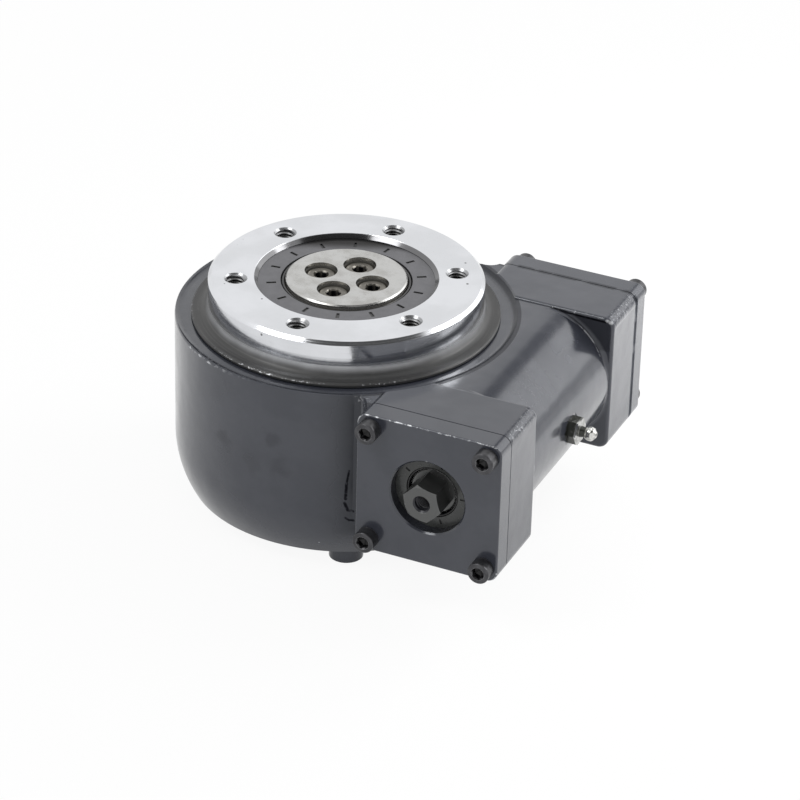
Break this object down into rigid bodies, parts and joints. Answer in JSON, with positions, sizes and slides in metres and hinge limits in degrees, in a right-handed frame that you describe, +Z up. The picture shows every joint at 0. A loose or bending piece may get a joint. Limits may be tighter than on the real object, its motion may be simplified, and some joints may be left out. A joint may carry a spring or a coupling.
{
  "type": "slewing drive",
  "caption": "Compact enclosed worm slewing drive: a round cast drum with a turning bolted ring on top and a side worm tunnel with a hexagon input.",
  "frame": {"origin": "on the ring's axis, in the plane of the four base boss faces", "axes": "+Z up along the ring's axis, +X from that axis to the worm, +Y along the worm away from the input hexagon"},
  "size_m": [0.2014, 0.178, 0.11],
  "materials": {
    "housing_paint": "gloss dark blue-grey paint on cast iron",
    "turned_steel": "turned and faced, bare",
    "hub_cap_steel": "machined, bare",
    "shaft_steel": "hardened and ground",
    "bearing_steel": "ground",
    "cage_steel": "machined",
    "spacer_steel": "turned",
    "wheel_bronze": "hobbed bronze",
    "black_steel": "black oxide",
    "seal_rubber": "moulded nitrile",
    "gasket_sheet": "flat sheet",
    "nipple_plating": "bright zinc plating"
  },
  "bodies": {
    "fixed": {"housing": "housing_paint", "hub_cap": "hub_cap_steel", "hub_cap_screws": "black_steel", "inner_spacer": "spacer_steel", "upper_bearing_inner_race": "bearing_steel", "lower_bearing_inner_race": "bearing_steel", "front_cover": "housing_paint", "rear_cover": "housing_paint", "front_gasket": "gasket_sheet", "rear_gasket": "gasket_sheet", "front_cover_screws": "black_steel", "rear_cover_screws": "black_steel", "worm_seal": "seal_rubber", "grease_nipple": "nipple_plating", "front_bearing_outer_race": "bearing_steel", "rear_bearing_outer_race": "bearing_steel"},
    "ring": {"output_ring": "turned_steel", "worm_wheel": "wheel_bronze", "wheel_lock_screws": "black_steel", "retaining_ring": "spacer_steel", "outer_spacer": "spacer_steel", "upper_bearing_outer_race": "bearing_steel", "lower_bearing_outer_race": "bearing_steel", "hub_seal": "seal_rubber", "dust_seal": "seal_rubber"},
    "worm": {"worm_shaft": "shaft_steel", "front_bearing_inner_race": "bearing_steel", "rear_bearing_inner_race": "bearing_steel"},
    "upper_bearing_set": {"upper_bearing_balls": "bearing_steel", "upper_bearing_cage": "cage_steel"},
    "lower_bearing_set": {"lower_bearing_balls": "bearing_steel", "lower_bearing_cage": "cage_steel"},
    "front_bearing_set": {"front_bearing_balls": "bearing_steel", "front_bearing_cage": "cage_steel"},
    "rear_bearing_set": {"rear_bearing_balls": "bearing_steel", "rear_bearing_cage": "cage_steel"}
  },
  "joints": [
    {"name": "ring_spin", "type": "hinge", "parent": "fixed", "child": "ring", "pos_m": [0, 0, 0.11], "axis": [0, 0, 1], "continuous": true},
    {"name": "worm_spin", "type": "hinge", "parent": "fixed", "child": "worm", "pos_m": [0.079, 0, 0.06], "axis": [0, 1, 0], "continuous": true},
    {"name": "upper_bearing_orbit", "type": "hinge", "parent": "fixed", "child": "upper_bearing_set", "pos_m": [0, 0, 0.11], "axis": [0, 0, 1], "continuous": true},
    {"name": "lower_bearing_orbit", "type": "hinge", "parent": "fixed", "child": "lower_bearing_set", "pos_m": [0, 0, 0.11], "axis": [0, 0, 1], "continuous": true},
    {"name": "front_bearing_orbit", "type": "hinge", "parent": "fixed", "child": "front_bearing_set", "pos_m": [0.079, 0, 0.06], "axis": [0, 1, 0], "continuous": true},
    {"name": "rear_bearing_orbit", "type": "hinge", "parent": "fixed", "child": "rear_bearing_set", "pos_m": [0.079, 0, 0.06], "axis": [0, 1, 0], "continuous": true}
  ],
  "couplings": [
    {"joint": "worm_spin", "follows": "ring_spin", "ratio": -31},
    {"joint": "upper_bearing_orbit", "follows": "ring_spin", "ratio": 0.57603},
    {"joint": "lower_bearing_orbit", "follows": "ring_spin", "ratio": 0.57603},
    {"joint": "front_bearing_orbit", "follows": "ring_spin", "ratio": -12.304},
    {"joint": "rear_bearing_orbit", "follows": "ring_spin", "ratio": -12.304}
  ]
}
